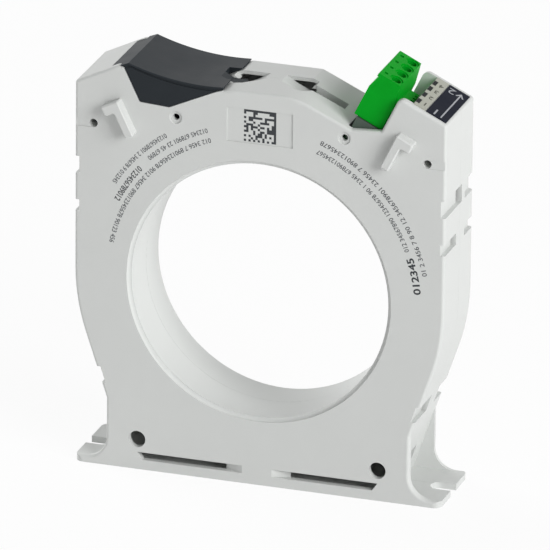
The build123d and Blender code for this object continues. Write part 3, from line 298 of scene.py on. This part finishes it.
# Lines of plain running digits on arcs around the bore, in millimetres and degrees. Angles are
# from the vertical, to the left. The digits read counter-clockwise, with their tops towards the
# bore. Each line's radius drifts from its first value to its second, as the print sits a little
# off the bore's centre. A line's groups are the numbers of digits between its spaces.
frontPrint = {
    "film": 0.03 * mm,
    "sunk": 0.01 * mm,
    "fine": {"ink": "greyInk", "height": 1.5, "stroke": 0.008, "lines": [
        {"radius": (48.5, 47.0), "angle": (18.2, 77.8), "groups": [3, 4, 1, 11, 4, 5, 11, 5, 3]},
        {"radius": (51.6, 51.2), "angle": (18.3, 42.3), "groups": [6, 6, 2, 2, 5]},
        {"radius": (54.3, 53.7), "angle": (32.3, 57.3), "groups": [12, 1, 6, 1, 6]},
        {"radius": (49.6, 49.9), "angle": (-67.9, -20.8), "groups": [3, 8, 8, 2, 1, 4, 12]},
        {"radius": (52.8, 53.0), "angle": (-77.2, -20.8),
         "groups": [2, 1, 4, 1, 1, 2, 2, 9, 5, 1, 11]},
    ]},
    "bold": {"ink": "darkInk", "lines": [
        {"radius": (50.7, 50.2), "angle": (46.8, 62.0), "groups": [13],
         "height": 1.9, "stroke": 0.014},
        {"radius": (49.6, 49.6), "angle": (-83.5, -70.3), "groups": [6],
         "height": 2.3, "stroke": 0.025},
    ]},
}


def printAlongArc(line):
    count = 0
    words = []
    for length in line["groups"]:
        words.append("".join(str((count + i) % 10) for i in range(length)))
        count += length
    start, end = (radians(angle) for angle in line["angle"])
    first, last = (radius * mm for radius in line["radius"])
    width = (end - start) * (first + last) / 2
    height = line["height"] * mm
    form = digitFilm(" ".join(words), width, height, frontPrint["film"], line["stroke"])
    for vert in form.verts:
        share = vert.co.x / width
        angle = start + (end - start) * share
        reach = first + (last - first) * share + height / 2 - vert.co.y
        vert.co = (-reach * sin(angle), housing["frontY"] + frontPrint["sunk"] - vert.co.z,
                   housing["boreZ"] + reach * cos(angle))
    return form


for weight in ("fine", "bold"):
    group = frontPrint[weight]
    printed = bmesh.new()
    for line in group["lines"]:
        lineForm = printAlongArc({**group, **line})  # a line's own values go over its group's
        lineMesh = bpy.data.meshes.new("line")
        lineForm.to_mesh(lineMesh)
        lineForm.free()
        printed.from_mesh(lineMesh)
        bpy.data.meshes.remove(lineMesh)
    placePiece(f"front_print_{weight}", printed, ink[group["ink"]], "housing")
print("front print done")

# Square patch of random modules in the code window: all dark along its top and right edges,
# every second one dark along the other two
codePatch = {"size": 10.0 * mm, "modules": 14, "lightShare": 0.5, "seed": 7, "inset": 0.01 * mm,
             "middleZ": 113.5 * mm, "recess": 0.3 * mm, "film": 0.03 * mm, "sunk": 0.01 * mm}
chance = random.Random(codePatch["seed"])
patch = bmesh.new()
bmesh.ops.create_grid(patch, x_segments=codePatch["modules"], y_segments=codePatch["modules"],
                      size=codePatch["size"] / 2)
module = codePatch["size"] / codePatch["modules"]
lastModule = codePatch["modules"] - 1
light = []
for face in patch.faces:
    middle = face.calc_center_median()
    column = round(middle.x / module + lastModule / 2)
    row = round(middle.y / module + lastModule / 2)
    if lastModule in (column, row):
        continue
    if 0 in (column, row):
        if (column + row) % 2 == 1:
            light.append(face)
    elif chance.random() < codePatch["lightShare"]:
        light.append(face)
bmesh.ops.delete(patch, geom=light, context="FACES")
for corner in patch.verts[:]:
    # Two modules that meet only at a corner get a corner each, or the film wouldn't be closed
    if len(corner.link_faces) == 2 and len(corner.link_edges) == 4:
        bmesh.utils.face_vert_separate(corner.link_faces[0], corner)
widenOutline(patch, -codePatch["inset"])
raiseFilm(patch, patch.faces[:], codePatch["film"])
bmesh.ops.rotate(patch, cent=(0, 0, 0), matrix=Matrix.Rotation(radians(90), 3, "X"),
                 verts=patch.verts)
bmesh.ops.translate(patch, vec=(0, housing["frontY"] + codePatch["recess"] + codePatch["sunk"],
                                codePatch["middleZ"]), verts=patch.verts)
placePiece("code_patch", patch, ink["darkInk"], "housing")
print("code patch done")

# Marks on the two labels of the right shoulder, sunk a little into the labels' upper faces.
# Their frame has X outwards down the slope from the corner, Y to the rear and Z off the face.
labels = {"thickness": 0.25 * mm, "film": 0.03 * mm, "sunk": 0.01 * mm}
tilt = housing["shoulderAngle"]
onShoulder = Matrix((
    (cos(tilt), 0, sin(tilt), housing["shoulderX"]),
    (0, 1, 0, 0),
    (-sin(tilt), 0, cos(tilt), housing["shoulderZ"]),
    (0, 0, 0, 1),
))
onLabel = onShoulder @ Matrix.Translation((0, 0, labels["thickness"] - labels["sunk"]))


def placeOnLabel(name, form, inkName):
    bmesh.ops.transform(form, matrix=onLabel, verts=form.verts)
    placePiece(name, form, ink[inkName], "housing")


# Open-headed arrow to the rear, between the numbers of the two faces, in millimetres. Its
# outline starts with the right side: tail, crotch, heel and tip of the barb.
arrow = {"inward": 3.05, "front": -11.0, "rear": 9.6, "width": 0.45,
         "barbReach": 1.35, "barbDrop": 2.4, "barbWidth": 0.5}
half = arrow["width"] / 2
barb = Vector((arrow["barbReach"], -arrow["barbDrop"]))
along = barb.normalized()
heel = barb + Vector((along.y, -along.x)) * arrow["barbWidth"]
crotch = heel - along * ((heel.x - half) / along.x)
rightSide = [(half, arrow["front"])] + [(p.x, arrow["rear"] + p.y) for p in (crotch, heel, barb)]
outline = rightSide + [(0, arrow["rear"])] + [(-x, y) for x, y in reversed(rightSide)]
arrowForm = bmesh.new()
corners = [arrowForm.verts.new(((x - arrow["inward"]) * mm, y * mm, 0)) for x, y in outline]
raiseFilm(arrowForm, [arrowForm.faces.new(corners)], labels["film"])
placeOnLabel("direction_arrow", arrowForm, "paleInk")

# Numbers of the two faces on the navy label, and a number and a bar for each pole on the cream
# one, in millimetres. The numbers read from behind: their tops point to the front.
labelNumbers = [
    {"name": "face_number_1", "text": "1", "inward": 5.3, "y": -9.4, "height": 3.6,
     "stroke": 0.0, "ink": "paleInk", "slot": "label_navy"},
    {"name": "face_number_2", "text": "2", "inward": 5.95, "y": 7.9, "height": 3.4,
     "stroke": 0.0, "ink": "paleInk", "slot": "label_navy"},
]
poles = {"ys": [-8.75, -3.2, 2.1, 6.9], "numberInward": 9.2, "numberHeight": 2.2,
         "numberStroke": 0.015, "barInward": 11.3, "barWidth": 1.2, "barLength": 3.15}
for pole, y in enumerate(poles["ys"], start=1):
    labelNumbers.append({
        "name": f"pole_number_{pole}", "text": str(pole), "inward": poles["numberInward"], "y": y,
        "height": poles["numberHeight"], "stroke": poles["numberStroke"],
        "ink": "oliveInk", "slot": "label_cream"})
for number in labelNumbers:
    height = number["height"] * mm
    form = digitFilm(number["text"], 0, height, labels["film"], number["stroke"])
    width = max(vert.co.x for vert in form.verts)
    bmesh.ops.translate(form, vec=(-width / 2, -height / 2, 0), verts=form.verts)
    bmesh.ops.rotate(form, cent=(0, 0, 0), matrix=Matrix.Rotation(radians(180), 3, "Z"),
                     verts=form.verts)
    bmesh.ops.translate(form, vec=(-number["inward"] * mm, number["y"] * mm, 0), verts=form.verts)
    placeOnLabel(number["name"], form, number["ink"])
bars = bmesh.new()
barSize = Matrix.Diagonal((poles["barWidth"] * mm, poles["barLength"] * mm, 1, 1))
for y in poles["ys"]:
    barPlace = Matrix.Translation((-poles["barInward"] * mm, y * mm, 0))
    bmesh.ops.create_grid(bars, x_segments=1, y_segments=1, size=0.5, matrix=barPlace @ barSize)
raiseFilm(bars, bars.faces[:], labels["film"])
placeOnLabel("pole_marks", bars, "blackInk")
print("label marks done")

white = srgb("#FFFFFF")


# 1 for what the camera sees, straight, mirrored or through glass, 0 for light on the object
def seenShare(tree):
    path = addNode(tree, "ShaderNodeLightPath", {}, {})
    seen = path.outputs["Is Camera Ray"]
    for kind in ("Is Glossy Ray", "Is Transmission Ray"):
        either = addNode(tree, "ShaderNodeMath", {"operation": "MAXIMUM"}, {
            0: seen, 1: path.outputs[kind]})
        seen = either.outputs[0]
    return seen


# Floor: pale paper, nearly white to the camera, that keeps the object's shadow
floor = {"half": 5.0, "paper": "#FAFAFA", "whiteShare": 0.92}
ground = bmesh.new()
bmesh.ops.create_grid(ground, x_segments=1, y_segments=1, size=floor["half"])
groundMesh = bpy.data.meshes.new("floor")
ground.to_mesh(groundMesh)
ground.free()
groundObject = bpy.data.objects.new("floor", groundMesh)
bpy.context.scene.collection.objects.link(groundObject)
paper = newMaterial("whitePaperSweep")
paperTree = paper.node_tree
diffuse = addNode(paperTree, "ShaderNodeBsdfDiffuse", {}, {"Color": srgb(floor["paper"])})
glow = addNode(paperTree, "ShaderNodeEmission", {}, {"Color": white, "Strength": 1.0})
share = addNode(paperTree, "ShaderNodeMath", {"operation": "MULTIPLY"}, {
    0: seenShare(paperTree), 1: floor["whiteShare"]})
sweep = addNode(paperTree, "ShaderNodeMixShader", {}, {
    0: share.outputs[0], 1: diffuse.outputs[0], 2: glow.outputs[0]})
addNode(paperTree, "ShaderNodeOutputMaterial", {}, {"Surface": sweep.outputs[0]})
groundMesh.materials.append(paper)

# Studio: white surroundings, a large soft box on the right and a lower one behind on the left
studio = {"ambient": 0.3, "aim": (0, 0, 0.06), "boxes": [
    {"name": "keyBox", "at": (2.45, -1.3, 1.2), "size": 1.6, "power": 77.0},
    {"name": "rimBox", "at": (-2.2, 1.1, 0.5), "size": 1.6, "power": 60.0},
]}
world = bpy.data.worlds.new("studio")
bpy.context.scene.world = world
world.use_nodes = True
worldTree = world.node_tree
worldTree.nodes.clear()
level = addNode(worldTree, "ShaderNodeMapRange", {}, {
    "Value": seenShare(worldTree), "To Min": studio["ambient"], "To Max": 1.0})
sky = addNode(worldTree, "ShaderNodeBackground", {}, {
    "Color": white, "Strength": level.outputs["Result"]})
addNode(worldTree, "ShaderNodeOutputWorld", {}, {"Surface": sky.outputs[0]})
for box in studio["boxes"]:
    lamp = bpy.data.lights.new(box["name"], "AREA")
    lamp.shape = "SQUARE"
    lamp.size = box["size"]
    lamp.energy = box["power"]
    softBox = bpy.data.objects.new(box["name"], lamp)
    softBox.location = box["at"]
    softBox.rotation_mode = "QUATERNION"
    outwards = Vector(box["at"]) - Vector(studio["aim"])
    softBox.rotation_quaternion = outwards.to_track_quat("Z", "Y")
    softBox.visible_glossy = False  # no glare of the lamp itself on the satin faces
    bpy.context.scene.collection.objects.link(softBox)

# Camera at the photograph's angle: a long lens, far away, with a trace of roll
view = {"azimuth": 18.12, "elevation": 21.13, "roll": 0.56, "distance": 3.495,
        "target": (0.74 * mm, 0, 62.08 * mm), "focalPx": 11786, "imagePx": 550,
        "sensorMm": 36.0, "clipEnd": 100.0}
azimuth, elevation, roll = (radians(view[key]) for key in ("azimuth", "elevation", "roll"))
back = Vector((sin(azimuth) * cos(elevation), -cos(azimuth) * cos(elevation), sin(elevation)))
right = Vector((cos(azimuth), sin(azimuth), 0))
up = back.cross(right)
rolledRight = right * cos(roll) + up * sin(roll)
rolledUp = up * cos(roll) - right * sin(roll)
cameraData = bpy.data.cameras.new("camera")
cameraData.sensor_width = view["sensorMm"]
cameraData.lens = view["sensorMm"] * view["focalPx"] / view["imagePx"]
cameraData.clip_end = view["clipEnd"]
camera = bpy.data.objects.new("camera", cameraData)
stand = Matrix.Translation(Vector(view["target"]) + back * view["distance"])
turn = Matrix((rolledRight, rolledUp, back)).transposed()
camera.matrix_world = stand @ turn.to_4x4()
bpy.context.scene.collection.objects.link(camera)
bpy.context.scene.camera = camera
bpy.context.scene.view_settings.view_transform = "Standard"
print("stage, lights and camera done")
